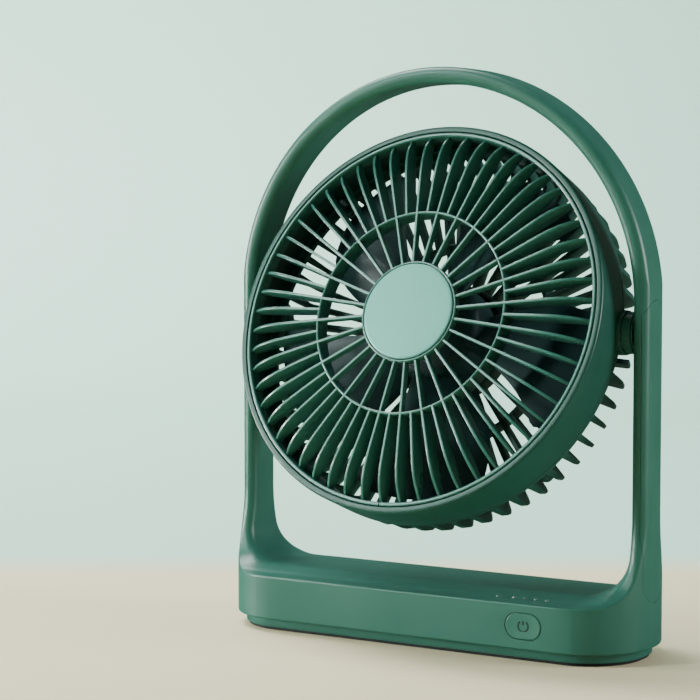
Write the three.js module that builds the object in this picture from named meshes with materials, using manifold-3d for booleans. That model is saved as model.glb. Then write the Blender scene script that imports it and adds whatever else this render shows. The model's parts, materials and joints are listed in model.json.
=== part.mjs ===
// A rechargeable desk fan: a round fan head that tilts between the posts of a D-shaped carrying frame.
// Millimetres, +Z up, the front faces -Y. The origin is the middle of the base's underside.
import * as THREE from "three";
import { mergeVertices } from "three/addons/utils/BufferGeometryUtils.js";
import Module from "manifold-3d";

const wasm = await Module();
wasm.setup();

// ---- Driving dimensions ----
const GAP = 0.3; // between neighbouring pieces

const frame = {
  width: 210, height: 259.6, thickness: 7.5, depth: 19.6,
  baseDepth: 67, endRadius: 31.2, bottom: 5.7, edge: 25.7, top: 28.7,
  filletRadius: 17, wall: 2.2,
};
const foot = { inset: 4, floor: 2, rise: 1.7, padHeight: 1.2, padInset: 1.2 };
const tilt = 20.6; // degrees that the head leans back as it stands
// The tilt axis runs a little above the fan's own axis, so that the head hangs steady.
const pivot = { height: 142.3, above: 3.2, radius: 4, bossRadius: 9.2, collarRadius: 9.9, collarFace: 92.1 };
const cover = { top: 156.8, bottom: 25.8, thickness: 2.7, width: 19.8 };
const channel = { depth: 2.8, halfWidth: 5, top: 149 };

// The head's own frame: +Z along the fan's axis towards the front, +Y up, origin level with the tilt axis.
const drum = { radius: 90.6, inner: 88.5, rear: 5, front: 27, lip: 87.7, ledge: 20.8 };
const grille = {
  rimOuter: 87.3, rimInner: 85.5, ringRadius: 46.9, ringWidth: 1.1, spokeWidth: 1.3,
  hubRadius: 23.5, front: 32.2, outerBack: 23.5, innerBack: 28.6, spokes: 28,
};
const rear = {
  fins: 56, finWidth: 2.2, phase: 0.32, ringFront: 4.7, ringBack: 2.2, ringInner: 84.8, back: -20,
  inside: -12.5, hubRadius: 27, midRadius: 48, midWidth: 1.6,
};
const impeller = { radius: 79, hubRadius: 24, hubFront: 14, hubBack: -8, blades: 5, shaftRadius: 1.5 };
const button = { x: 58.5, z: 16, width: 17.1, height: 11.3 };
const lights = { x: [42.2, 50.0, 55.3, 60.5, 66.0], y: -25.2, radius: 0.8, top: 26.8 };
const usb = { x: 56, z: 14, width: 9, height: 3.3, depth: 7.4 };

const archHeight = frame.height - frame.width / 2;
const halfWidth = frame.width / 2;
const halfBase = frame.baseDepth / 2;
const postInside = halfWidth - frame.thickness;
const padTop = foot.padHeight;
const plateBottom = padTop + GAP;
const flangeBottom = frame.bottom + 0.2;

// ---- Materials ----
const material = (color, roughness, metalness = 0) =>
  new THREE.MeshStandardMaterial({ color, roughness, metalness });
const green = material(0x3f7a66, 0.45);
const badgeGreen = material(0x6fa898, 0.4, 0.3);
const darkGreen = material(0x2c5a4b, 0.5);
const bladeGreen = material(0x24463c, 0.55);
const rubber = material(0x1c201f, 0.85);
const steel = material(0xb4b8ba, 0.35, 1);
const brass = material(0xb9923c, 0.35, 1);
const copper = material(0xa8602c, 0.4, 0.8);
const board = material(0x1f5a34, 0.5);
const black = material(0x191a1c, 0.5);
const clear = material(0xdde6e2, 0.2);
const cellWrap = material(0x2f6fa8, 0.4);

// ---- Shapes ----
const degrees = THREE.MathUtils.degToRad;

// Points of an arc, angles in degrees.
function arc(cx, cy, radius, from, to, steps) {
  return Array.from({ length: steps + 1 }, (_, i) => {
    const a = degrees(from + ((to - from) * i) / steps);
    return [cx + radius * Math.cos(a), cy + radius * Math.sin(a)];
  });
}

// A closed geometry as a manifold solid, with its faces turned outwards.
function solid(geometry) {
  const bare = geometry.index ? geometry.toNonIndexed() : geometry.clone();
  bare.deleteAttribute("normal");
  bare.deleteAttribute("uv");
  const merged = mergeVertices(bare, 1e-4);
  const index = merged.index.array;
  const triangles = [];
  for (let i = 0; i < index.length; i += 3) {
    const [a, b, c] = [index[i], index[i + 1], index[i + 2]];
    if (a !== b && b !== c && c !== a) triangles.push([a, b, c]);
  }
  const build = (list) =>
    new wasm.Manifold(
      new wasm.Mesh({
        numProp: 3,
        vertProperties: merged.attributes.position.array,
        triVerts: new Uint32Array(list.flat()),
      }),
    );
  const made = build(triangles);
  return made.volume() < 0 ? build(triangles.map(([a, b, c]) => [a, c, b])) : made;
}

const join = (...solids) => solids.flat().reduce((whole, one) => whole.add(one));
const cut = (whole, ...tools) => tools.flat().reduce((left, tool) => left.subtract(tool), whole);

function shapeOf(points, holes = []) {
  const vectors = (list) => list.map(([x, y]) => new THREE.Vector2(x, y));
  const shape = new THREE.Shape(vectors(points));
  shape.holes = holes.map((hole) => new THREE.Path(vectors(hole)));
  return shape;
}

const extrusion = (points, depth, holes) =>
  new THREE.ExtrudeGeometry(shapeOf(points, holes), { depth, bevelEnabled: false });

// A plan outline (x, y) raised from z0 to z1.
const upright = (points, z0, z1, holes) => solid(extrusion(points, z1 - z0, holes).translate(0, 0, z0));

// A front-view outline (x, z) running from y0 to y1.
const frontal = (points, y0, y1, holes) =>
  solid(extrusion(points, y1 - y0, holes).rotateX(Math.PI / 2).translate(0, y1, 0));

// A side-view outline (y, z) running from x0 to x1.
const sideways = (points, x0, x1) =>
  solid(extrusion(points, x1 - x0).rotateX(Math.PI / 2).rotateZ(Math.PI / 2).translate(x0, 0, 0));

// A profile of [radius, z] points turned about Z; it starts and ends on the axis or closes on itself.
function turned(profile, segments = 16) {
  const closed = profile[0][0] === 0 ? profile : [...profile, profile[0]];
  const points = closed.map(([r, z]) => new THREE.Vector2(r, z));
  return new THREE.LatheGeometry(points, segments).rotateX(Math.PI / 2);
}

const disc = (radius, z0, z1, segments) =>
  turned([[0, z0], [radius, z0], [radius, z1], [0, z1]], segments);
const ring = (inner, outer, z0, z1, segments) =>
  turned([[inner, z0], [outer, z0], [outer, z1], [inner, z1]], segments);
const alongX = (geometry) => geometry.rotateY(Math.PI / 2);
const alongY = (geometry) => geometry.rotateX(-Math.PI / 2);
const block = (x0, x1, y0, y1, z0, z1) =>
  solid(new THREE.BoxGeometry(x1 - x0, y1 - y0, z1 - z0)
    .translate((x0 + x1) / 2, (y0 + y1) / 2, (z0 + z1) / 2));

// A rectangle with round corners, centred on (cx, cy).
function roundedRectangle(width, height, radius, steps = 6, cx = 0, cy = 0) {
  const [x, y] = [width / 2 - radius, height / 2 - radius];
  return [
    ...arc(cx + x, cy + y, radius, 0, 90, steps),
    ...arc(cx - x, cy + y, radius, 90, 180, steps),
    ...arc(cx - x, cy - y, radius, 180, 270, steps),
    ...arc(cx + x, cy - y, radius, 270, 360, steps),
  ];
}

function meshOf(name, shape, look) {
  const { vertProperties, triVerts, numProp, numVert } = shape.getMesh();
  const positions = new Float32Array(numVert * 3);
  for (let i = 0; i < numVert; i++) {
    positions.set(vertProperties.subarray(i * numProp, i * numProp + 3), i * 3);
  }
  const geometry = new THREE.BufferGeometry();
  geometry.setAttribute("position", new THREE.BufferAttribute(positions, 3));
  geometry.setIndex(new THREE.BufferAttribute(new Uint32Array(triVerts), 1));
  const mesh = new THREE.Mesh(geometry, look);
  mesh.name = name;
  return mesh;
}

const stand = new THREE.Group();
const head = new THREE.Group();
head.position.z = pivot.height;
head.rotation.x = degrees(90 - tilt);
const fanBody = new THREE.Group();
fanBody.position.y = -pivot.above;
head.add(fanBody);

// ---- Stand: the D-shaped frame ----
// Seen from the side, the posts run out to the base's edge in a hollow curve: [half depth, height] points.
const flare = [
  [halfBase, frame.edge], [27.4, 26.3], [24.6, 27.5], [21.6, 29.1], [18.7, 31.5], [16.6, 34], [14.8, 37.2],
  [13.2, 41.6], [11.6, 48], [10.4, 54.5], [frame.depth / 2, 61],
];

function frameBody() {
  const outer = [
    [-halfWidth, frame.bottom], [halfWidth, frame.bottom],
    ...arc(0, archHeight, halfWidth, 0, 180, 26),
  ];
  const corner = frame.top + frame.filletRadius;
  const cornerX = postInside - frame.filletRadius;
  const hole = [
    ...arc(-cornerX, corner, frame.filletRadius, 180, 270, 6),
    ...arc(cornerX, corner, frame.filletRadius, 270, 360, 6),
    ...arc(0, archHeight, postInside, 0, 180, 26),
  ];
  const front = frontal(outer, -halfBase, halfBase, [hole]);
  const half = [[halfBase, frame.bottom], ...flare, [frame.depth / 2, frame.height + 1]];
  const mirrored = half.map(([y, z]) => [-y, z]).reverse();
  const side = sideways([...half, ...mirrored], -halfWidth - 1, halfWidth + 1);
  const plan = upright(
    roundedRectangle(frame.width, frame.baseDepth, frame.endRadius), 0, frame.height + 1);
  return front.intersect(side).intersect(plan);
}

// The outer strip of a post, from the tilt axis's level down to the base, with round ends.
function coverZone(side, grow) {
  const half = cover.width / 2;
  const outline = [
    ...arc(0, cover.bottom + half, half + grow, 180, 360, 8),
    ...arc(0, cover.top - half, half + grow, 0, 180, 8),
  ];
  const inner = halfWidth - cover.thickness - grow;
  const [x0, x1] = side > 0 ? [inner, halfWidth + 2] : [-halfWidth - 2, -inner];
  return sideways(outline, x0, x1);
}

const bodyOfFrame = frameBody();
const screwSpots = [[-88, -12], [-88, 12], [88, -12], [88, 12]];

function frameShell() {
  const wall = frame.wall;
  const cavity = upright(
    roundedRectangle(frame.width - 2 * wall, frame.baseDepth - 2 * wall, frame.endRadius - wall),
    frame.bottom - 1, frame.edge - 2);
  const bosses = screwSpots.map(([x, y]) => solid(disc(3.4, 9.5, frame.edge - 1, 12).translate(x, y, 0)));
  const pilots = screwSpots.map(([x, y]) => solid(disc(1.5, 9, 19, 8).translate(x, y, 0)));
  const grooves = [-1, 1].flatMap((side) => {
    const x1 = side * (halfWidth - cover.thickness);
    const x0 = x1 - side * channel.depth;
    const [low, high] = [Math.min(x0, x1), Math.max(x0, x1)];
    const pocket = alongX(disc(7.5, low, high)).translate(0, 0, pivot.height);
    const bore = alongX(disc(pivot.radius + GAP, postInside - 1, halfWidth - 1));
    return [
      coverZone(side, GAP),
      block(low, high, -channel.halfWidth, channel.halfWidth, 16, channel.top),
      solid(pocket),
      solid((side > 0 ? bore : bore.scale(-1, 1, 1)).translate(0, 0, pivot.height)),
    ];
  });
  const lightHoles = lights.x.map((x) =>
    solid(disc(lights.radius + 0.2, 20, 32, 10).translate(x, lights.y, 0)));
  const buttonHole = frontal(
    roundedRectangle(button.width + 0.6, button.height + 0.6, button.height / 2, 6, button.x, button.z),
    -halfBase - 1, -halfBase + wall + 1);
  const usbHole = frontal(
    roundedRectangle(usb.width + 0.8, usb.height + 0.8, usb.height / 2, 4, usb.x, usb.z),
    halfBase - wall - 1, halfBase + 1);
  const hollow = cut(bodyOfFrame, cavity);
  return cut(join(hollow, bosses), pilots, grooves, lightHoles, buttonHole, usbHole);
}
stand.add(meshOf("frame_shell", frameShell(), green));

for (const [side, name] of [[-1, "side_cover_left"], [1, "side_cover_right"]]) {
  stand.add(meshOf(name, bodyOfFrame.intersect(coverZone(side, 0)), green));
}

// ---- Stand: underside ----
function bottomPlate() {
  const wide = frame.width - 2 * foot.inset;
  const deep = frame.baseDepth - 2 * foot.inset;
  const radius = frame.endRadius - foot.inset;
  const tray = upright(roundedRectangle(wide, deep, radius), plateBottom, flangeBottom + foot.rise);
  const flange = upright(
    roundedRectangle(
      frame.width - 2 * frame.wall - 2 * GAP, frame.baseDepth - 2 * frame.wall - 2 * GAP,
      frame.endRadius - frame.wall - GAP),
    flangeBottom + GAP, flangeBottom + foot.rise);
  const pocket = upright(
    roundedRectangle(wide - 6, deep - 6, radius - 3), plateBottom + foot.floor, flangeBottom + 5);
  const posts = screwSpots.map(([x, y]) =>
    solid(disc(4.2, plateBottom, 8.6, 12).translate(x, y, 0)));
  const holes = screwSpots.map(([x, y]) =>
    solid(turned([[0, 0], [2.9, 0], [2.9, 4.2], [1.5, 4.2], [1.5, 10], [0, 10]], 12).translate(x, y, 0)));
  return cut(join(cut(join(tray, flange), pocket), posts), holes);
}
stand.add(meshOf("bottom_plate", bottomPlate(), green));

function antiSlipPad() {
  const inset = 2 * (foot.inset + foot.padInset);
  const pad = upright(
    roundedRectangle(
      frame.width - inset, frame.baseDepth - inset, frame.endRadius - foot.inset - foot.padInset),
    0, padTop);
  return cut(pad, screwSpots.map(([x, y]) => solid(disc(3.1, -1, 3).translate(x, y, 0))));
}
stand.add(meshOf("anti_slip_pad", antiSlipPad(), rubber));

// A pan-head screw that stands on its head's underside, pointing up.
function screw(headRadius, headHeight, shankRadius, length) {
  const recess = solid(disc(headRadius * 0.45, -headHeight - 1, -headHeight * 0.45, 6));
  const body = solid(turned([
    [0, -headHeight], [headRadius * 0.8, -headHeight], [headRadius, -headHeight * 0.5], [headRadius, 0],
    [shankRadius, 0], [shankRadius, length - 1], [0, length],
  ], 10));
  return cut(body, recess);
}
const baseScrew = screw(2.6, 1.8, 1.2, 12);
screwSpots.forEach(([x, y], i) => {
  const mesh = meshOf(`base_screw_${i + 1}`, baseScrew, steel);
  mesh.position.set(x, y, 3.9);
  stand.add(mesh);
});

// ---- Stand: what the base holds ----
const cell = { radius: 9.2, length: 65, x: -42, z: 13.2, y: 9.8 };
for (const [i, side] of [[1, -1], [2, 1]]) {
  const can = solid(alongX(turned([
    [0, -cell.length / 2], [cell.radius - 0.8, -cell.length / 2], [cell.radius, -cell.length / 2 + 0.8],
    [cell.radius, cell.length / 2 - 1.6], [cell.radius - 0.8, cell.length / 2 - 0.8],
    [3, cell.length / 2 - 0.8], [3, cell.length / 2], [0, cell.length / 2],
  ], 20)));
  const mesh = meshOf(`battery_cell_${i}`, can, cellWrap);
  mesh.position.set(cell.x, side * cell.y, cell.z);
  stand.add(mesh);
}
stand.add(meshOf("battery_board", block(-7.8, -6.6, -18, 18, 5, 21), board));

const mainBoard = { x0: 0, x1: 80, y0: -15, y1: 27, z: 8.6 };
stand.add(meshOf(
  "main_board",
  join(
    block(mainBoard.x0, mainBoard.x1, mainBoard.y0, mainBoard.y1, mainBoard.z, mainBoard.z + 1.6),
    block(8, 20, -6, 6, mainBoard.z + 1, mainBoard.z + 5),
    block(26, 31, -4, 1, mainBoard.z + 1, mainBoard.z + 3.2),
    block(30, 40, 6, 13, mainBoard.z + 1, mainBoard.z + 4.5),
  ),
  board,
));
const switchFront = -halfBase + 4.3;
stand.add(meshOf("button_board", block(46, 71, switchFront + 3.6, switchFront + 4.8, 7.5, 19.6), board));
stand.add(meshOf(
  "button_switch",
  join(
    block(button.x - 3, button.x + 3, switchFront, switchFront + 3.3, button.z - 3, button.z + 3),
    solid(alongY(disc(1.7, switchFront - 0.4, switchFront + 0.2, 12)).translate(button.x, 0, button.z)),
  ),
  black,
));

const lightBar = 19.9;
stand.add(meshOf(
  "light_guide",
  join(
    block(lights.x[0] - 2, lights.x.at(-1) + 2, lights.y - 1.6, lights.y + 1.6, lightBar, lightBar + 1.5),
    lights.x.map((x) => solid(disc(lights.radius, lightBar + 1, lights.top, 10).translate(x, lights.y, 0))),
  ),
  clear,
));

function usbSocket() {
  const outline = (grow) =>
    roundedRectangle(usb.width + grow, usb.height + grow, (usb.height + grow) / 2 - 0.05, 4, usb.x, usb.z);
  const y1 = halfBase - 0.4;
  const shell = cut(
    frontal(outline(0), y1 - usb.depth, y1),
    frontal(outline(-0.7), y1 - usb.depth + 1, y1 + 1),
  );
  const tongue = block(usb.x - 3.3, usb.x + 3.3, y1 - usb.depth + 0.5, y1 - 1, usb.z - 0.35, usb.z + 0.35);
  const foothold = block(usb.x - 4, usb.x + 4, y1 - usb.depth, y1 - 2.4, 10.5, usb.z - usb.height / 2 + 0.3);
  return join(shell, tongue, foothold);
}
stand.add(meshOf("usb_c_socket", usbSocket(), steel));

// ---- The power button, a pill whose face is flush with the base's front ----
function powerButton() {
  const outline = (width, height) => roundedRectangle(width, height, height / 2 - 0.05, 6, button.x, button.z);
  const cap = frontal(outline(button.width, button.height), -halfBase, -halfBase + 2.4);
  const dish = solid(new THREE.SphereGeometry(60, 48, 24)
    .translate(button.x, -halfBase - 59.7, button.z));
  const flange = frontal(outline(button.width + 2.4, button.height + 2.4), -halfBase + 2.5, -halfBase + 3.2);
  const stem = solid(alongY(disc(2, -halfBase + 0.9, switchFront - 1.5, 12)).translate(button.x, 0, button.z));
  const neck = frontal(outline(button.width - 1, button.height - 1), -halfBase + 2, -halfBase + 2.9);
  return join(cut(cap, dish), neck, flange, stem);
}
stand.add(meshOf("power_button", powerButton(), green));

// ---- Tilt pivots ----
const pivotX = {
  boss: pivot.collarFace + GAP, bossEnd: postInside - 1.2, washer: postInside - 0.9,
  washerEnd: postInside - GAP, shaftEnd: 102,
};
const clip = { x0: 100.75, x1: 101.55, radius: 6.2 };

function pivotShaft() {
  const outside = alongX(turned([
    [2, 86], [5, 86], [5, pivotX.boss], [pivot.bossRadius - 0.5, pivotX.boss],
    [pivot.bossRadius, pivotX.boss + 0.5], [pivot.bossRadius, pivotX.bossEnd - 0.5],
    [pivot.bossRadius - 0.5, pivotX.bossEnd], [pivot.radius, pivotX.bossEnd],
    [pivot.radius, clip.x0 - 0.2], [3.2, clip.x0 - 0.2], [3.2, clip.x1 + 0.2],
    [pivot.radius, clip.x1 + 0.2], [pivot.radius, pivotX.shaftEnd], [2, pivotX.shaftEnd],
  ], 16));
  return solid(outside);
}

function pivotClip() {
  const whole = solid(alongX(ring(3.5, clip.radius, clip.x0, clip.x1, 16)));
  return cut(whole, block(clip.x0 - 1, clip.x1 + 1, -1.6, 1.6, 0, 10));
}

for (const [side, end] of [[-1, "left"], [1, "right"]]) {
  const turnRound = side < 0 ? Math.PI : 0;
  const shaft = meshOf(`pivot_shaft_${end}`, pivotShaft(), darkGreen);
  const retainer = meshOf(`pivot_clip_${end}`, pivotClip(), steel);
  const washer = meshOf(
    `friction_washer_${end}`,
    solid(alongX(ring(pivot.radius + GAP, 8.6, pivotX.washer, pivotX.washerEnd, 16))), black);
  washer.position.z = pivot.height;
  for (const mesh of [shaft, retainer, washer]) mesh.rotation.z = turnRound;
  head.add(shaft, retainer);
  stand.add(washer);
}

// The lead runs up the right post's channel to the hollow pivot.
const postLead = new THREE.CatmullRomCurve3([
  [84, 0, 12.4], [94, 0, 12.6], [99.9, 0, 17], [100.9, 0, 24], [100.9, 0, 90], [100.9, 0, 133.2],
].map((p) => new THREE.Vector3(...p)));
const leadSection = (radius) => shapeOf(arc(0, 0, radius, 0, 300, 5));
stand.add(meshOf(
  "post_lead",
  solid(new THREE.ExtrudeGeometry(leadSection(1.1), { steps: 18, extrudePath: postLead, bevelEnabled: false })),
  black,
));

// ---- Head: the drum ----
const screwRing = { radius: 84.8, angles: [45, 135, 225, 315] };
const onRing = (geometry, radius, angle) => geometry.translate(radius, 0, 0).rotateZ(degrees(angle));

function drumHousing() {
  const shell = solid(turned([
    [drum.inner, drum.rear], [drum.radius, drum.rear], [drum.radius, drum.front - 1],
    [drum.radius - 1, drum.front], [drum.lip, drum.front], [drum.lip, drum.ledge],
    [drum.inner - 2.4, drum.ledge], [drum.inner - 2.4, drum.ledge - 1.6], [drum.inner, drum.ledge - 3.6],
  ], 56));
  const collars = [-1, 1].map((side) => {
    const x0 = side > 0 ? 87 : -pivot.collarFace;
    const x1 = side > 0 ? pivot.collarFace : -87;
    return solid(alongX(disc(pivot.collarRadius, x0, x1, 20)).translate(0, pivot.above, 0));
  });
  const bores = [-1, 1].map((side) => {
    const bore = alongX(disc(5.3, 80, 100, 16));
    return solid((side > 0 ? bore : bore.rotateZ(Math.PI)).translate(0, pivot.above, 0));
  });
  const bosses = screwRing.angles.map((a) =>
    solid(onRing(disc(4.4, drum.rear, drum.ledge - 2, 12), screwRing.radius, a)));
  const pilots = screwRing.angles.map((a) =>
    solid(onRing(disc(1.3, drum.rear - 1, 16, 8), screwRing.radius, a)));
  return cut(join(shell, collars, bosses), bores, pilots);
}
fanBody.add(meshOf("drum_housing", drumHousing(), green));

// ---- Head: the front grille ----
// A flat blade whose outline is given as [radius, z], standing on the axis at an angle.
const blade = (outline, width, angle) =>
  solid(extrusion(outline, width).rotateX(Math.PI / 2).translate(0, width / 2, 0).rotateZ(degrees(angle)));

// The grille's front surface: flat in the middle, turned down to the rim.
function grilleFront(radius) {
  const share = Math.max(0, (radius - 50) / (grille.rimInner - 50));
  return grille.front - 7 * share ** 5;
}

function frontGrille() {
  const pitch = 360 / grille.spokes;
  const facets = 2 * grille.spokes;
  const faced = (geometry) => solid(geometry.rotateZ(degrees(180 / facets)));
  const rim = faced(ring(grille.rimInner, grille.rimOuter, drum.ledge + GAP, drum.front, facets));
  const half = grille.ringWidth / 2;
  const middle = faced(
    ring(grille.ringRadius - half, grille.ringRadius + half, grille.outerBack, grille.front, facets));
  const hub = solid(turned([
    [0, grille.innerBack], [grille.hubRadius, grille.innerBack], [grille.hubRadius, grille.front],
    [22.6, grille.front + 0.3], [22.6, grille.front - 1.2], [0, grille.front - 1.2],
  ], grille.spokes));
  const inner = [
    [grille.hubRadius - 0.8, grille.innerBack], [grille.ringRadius, grille.innerBack],
    [grille.ringRadius, grille.front], [grille.hubRadius - 0.8, grille.front],
  ];
  const outer = [
    [grille.ringRadius, grille.outerBack], [grille.rimInner + 0.5, drum.ledge + 1.2],
    ...[86, 82, 74].map((r) => [r, grilleFront(r)]), [grille.ringRadius, grille.front],
  ];
  const blades = [];
  for (let i = 0; i < grille.spokes; i++) {
    const angle = 90 + (i + 0.5) * pitch;
    blades.push(blade(inner, grille.spokeWidth, angle));
    blades.push(blade(outer, grille.spokeWidth, angle));
    blades.push(blade(outer, grille.spokeWidth, angle + pitch / 2));
  }
  return join(rim, middle, hub, blades);
}
fanBody.add(meshOf("front_grille", frontGrille(), green));
fanBody.add(meshOf(
  "front_badge",
  solid(turned([
    [0, grille.front - 0.9], [22.2, grille.front - 0.9], [22.2, grille.front + 0.1],
    [21.6, grille.front + 0.5], [12, grille.front + 0.8], [0, grille.front + 0.9],
  ], 40)),
  badgeGreen,
));

// ---- Head: the rear grille, which carries the motor ----
const motorScrews = { radius: 11.5, angles: [90, 210, 330] };

function rearGrille() {
  const rim = solid(ring(rear.ringInner, drum.radius - 0.1, rear.ringBack, rear.ringFront, 56));
  const middle = solid(ring(
    rear.midRadius - rear.midWidth / 2, rear.midRadius + rear.midWidth / 2, rear.back, rear.inside, 56));
  const hub = solid(turned([
    [0, rear.back], [rear.hubRadius, rear.back], [rear.hubRadius, rear.inside + 0.5],
    [rear.hubRadius - 2, rear.inside + 0.5], [rear.hubRadius - 2, rear.back + 2.4], [0, rear.back + 2.4],
  ], rear.fins / 2));
  const fin = [
    [90, rear.ringBack + 1], [89.4, -9.5], [88.2, -15.5], [84.6, rear.back], [rear.midRadius, rear.back],
    [rear.midRadius, rear.inside], [82.9, rear.inside], [85.8, rear.ringBack + 1],
  ];
  const rib = [
    [rear.hubRadius - 1, rear.back], [rear.midRadius, rear.back], [rear.midRadius, rear.inside],
    [rear.hubRadius - 1, rear.inside],
  ];
  const pitch = 360 / rear.fins;
  const blades = [];
  for (let i = 0; i < rear.fins; i++) {
    const angle = (i + rear.phase) * pitch;
    blades.push(blade(fin, rear.finWidth, angle));
    if (i % 2 === 0) blades.push(blade(rib, rear.finWidth - 0.4, angle));
  }
  const sector = 1.5 * pitch;
  const pads = [0, 180].map((middle) =>
    upright(
      [
        ...arc(0, 0, 89.6, middle - sector, middle + sector, 3),
        ...arc(0, 0, 86, middle + sector, middle - sector, 3),
      ],
      -9, rear.ringBack + 1));
  const posts = screwRing.angles.map((a) =>
    solid(onRing(disc(3.6, -9.5, rear.ringFront, 12), screwRing.radius, a)));
  const holes = screwRing.angles.map((a) =>
    solid(onRing(
      turned([[0, -30], [3.0, -30], [3.0, -4], [1.6, -4], [1.6, 8], [0, 8]], 12), screwRing.radius, a)));
  const seats = motorScrews.angles.map((a) =>
    solid(onRing(disc(1.3, rear.back + 1, rear.back + 7, 8), motorScrews.radius, a)));
  const room = [-1, 1].map((side) => {
    const plug = alongX(disc(pivot.collarRadius + 0.8, 80, 95, 20));
    return solid((side > 0 ? plug : plug.rotateZ(Math.PI)).translate(0, pivot.above, 0));
  });
  const leadSlot = block(13, 27, -1.8, 1.8, rear.back + 2.8, rear.inside + 2);
  return cut(join(rim, middle, hub, blades, pads, posts), holes, seats, room, leadSlot);
}
fanBody.add(meshOf("rear_grille", rearGrille(), green));

const rearScrew = screw(2.7, 2, 1.1, 17);
screwRing.angles.forEach((angle, i) => {
  const mesh = meshOf(`rear_screw_${i + 1}`, rearScrew, steel);
  mesh.position.set(
    screwRing.radius * Math.cos(degrees(angle)), screwRing.radius * Math.sin(degrees(angle)), -4.3);
  fanBody.add(mesh);
});

// ---- Head: the motor's still parts ----
const motor = { base: rear.back + 2.4 + GAP, baseHeight: 1.4, tubeInner: 3.7, tubeOuter: 5.2 };
const motorBaseTop = motor.base + motor.baseHeight;
fanBody.add(meshOf(
  "motor_base",
  cut(
    solid(ring(motor.tubeOuter + GAP, 16, motor.base, motorBaseTop, 24)),
    motorScrews.angles.map((a) =>
      solid(onRing(disc(1.4, motor.base - 1, motorBaseTop + 1, 8), motorScrews.radius, a))),
  ),
  steel,
));
fanBody.add(meshOf(
  "bearing_tube", solid(ring(motor.tubeInner, motor.tubeOuter, motor.base, 3.6, 24)), brass));
for (const [name, z] of [["bearing_rear", -12], ["bearing_front", 0.2]]) {
  fanBody.add(meshOf(name, solid(ring(1.8, motor.tubeInner - 0.25, z, z + 3, 20)), steel));
}

function statorCore() {
  const teeth = 9;
  const yoke = solid(ring(motor.tubeOuter + GAP, 8, -6, 3, 24));
  const arms = Array.from({ length: teeth }, (_, i) => {
    const stem = [[7, -1.4], [12.6, -1.4], [12.6, -3.2], [14.2, -3.0], [14.2, 3.0], [12.6, 3.2], [12.6, 1.4], [7, 1.4]];
    return solid(extrusion(stem, 9).translate(0, 0, -6).rotateZ(degrees((360 / teeth) * i)));
  });
  return join(yoke, arms);
}
fanBody.add(meshOf("stator_core", statorCore(), copper));
fanBody.add(meshOf("motor_board", solid(ring(motor.tubeOuter + GAP, 14.6, -8.8, -7.6, 24)), board));
const motorScrew = screw(2.2, 1.2, 1.0, 2.6);
motorScrews.angles.forEach((angle, i) => {
  const mesh = meshOf(`motor_screw_${i + 1}`, motorScrew, steel);
  const [x, y] = [Math.cos(degrees(angle)), Math.sin(degrees(angle))];
  mesh.position.set(motorScrews.radius * x, motorScrews.radius * y, motorBaseTop + 0.1);
  mesh.rotation.x = Math.PI;
  fanBody.add(mesh);
});

const motorLead = new THREE.CatmullRomCurve3([
  [84.5, pivot.above, 0], [81, 2.4, -3.4], [79.6, 1, -9.6], [74, 0, -10.9], [40, 0, -10.9], [28, 0, -10.9],
  [22, 0, -12.4], [17.4, 0, -12.8],
].map((p) => new THREE.Vector3(...p)));
fanBody.add(meshOf(
  "motor_lead",
  solid(new THREE.ExtrudeGeometry(leadSection(1.0), { steps: 22, extrudePath: motorLead, bevelEnabled: false })),
  black,
));

// ---- Rotor: what the motor turns ----
const bladeForm = {
  rootRadius: impeller.hubRadius - 1.2, tipRadius: impeller.radius, rootSpan: 50, tipSpan: 46,
  rootRise: 17, tipRise: 12, middle: 4.5, sweep: -16, thickness: 1.8, across: 6, along: 5,
};

// One swept, twisted blade as a closed grid: its front skin, its back skin and the edge between them.
function fanBlade(angle) {
  const f = bladeForm;
  const points = [];
  for (const skin of [1, -1]) {
    for (let i = 0; i <= f.along; i++) {
      const s = i / f.along;
      const radius = f.rootRadius + (f.tipRadius - f.rootRadius) * s;
      const span = f.rootSpan + (f.tipSpan - f.rootSpan) * s;
      const rise = f.rootRise + (f.tipRise - f.rootRise) * s;
      for (let j = 0; j <= f.across; j++) {
        const c = j / f.across - 0.5;
        const a = degrees(angle + f.sweep * s * s + c * span);
        const bow = (0.25 - c * c) * 5;
        const z = f.middle - c * rise + bow + (skin * f.thickness) / 2;
        points.push(radius * Math.cos(a), radius * Math.sin(a), z);
      }
    }
  }
  const row = f.across + 1;
  const skinSize = row * (f.along + 1);
  const index = [];
  const quad = (a, b, c, d) => index.push(a, b, c, a, c, d);
  for (let i = 0; i < f.along; i++) {
    for (let j = 0; j < f.across; j++) {
      const p = i * row + j;
      quad(p, p + row, p + row + 1, p + 1);
      quad(skinSize + p, skinSize + p + 1, skinSize + p + row + 1, skinSize + p + row);
    }
  }
  const edge = [
    ...Array.from({ length: f.across }, (_, j) => j),
    ...Array.from({ length: f.along }, (_, i) => i * row + f.across),
    ...Array.from({ length: f.across }, (_, j) => f.along * row + f.across - j),
    ...Array.from({ length: f.along }, (_, i) => (f.along - i) * row),
  ];
  edge.forEach((p, k) => {
    const q = edge[(k + 1) % edge.length];
    quad(p, q, skinSize + q, skinSize + p);
  });
  const geometry = new THREE.BufferGeometry();
  geometry.setAttribute("position", new THREE.BufferAttribute(new Float32Array(points), 3));
  geometry.setIndex(index);
  return solid(geometry);
}

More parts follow.
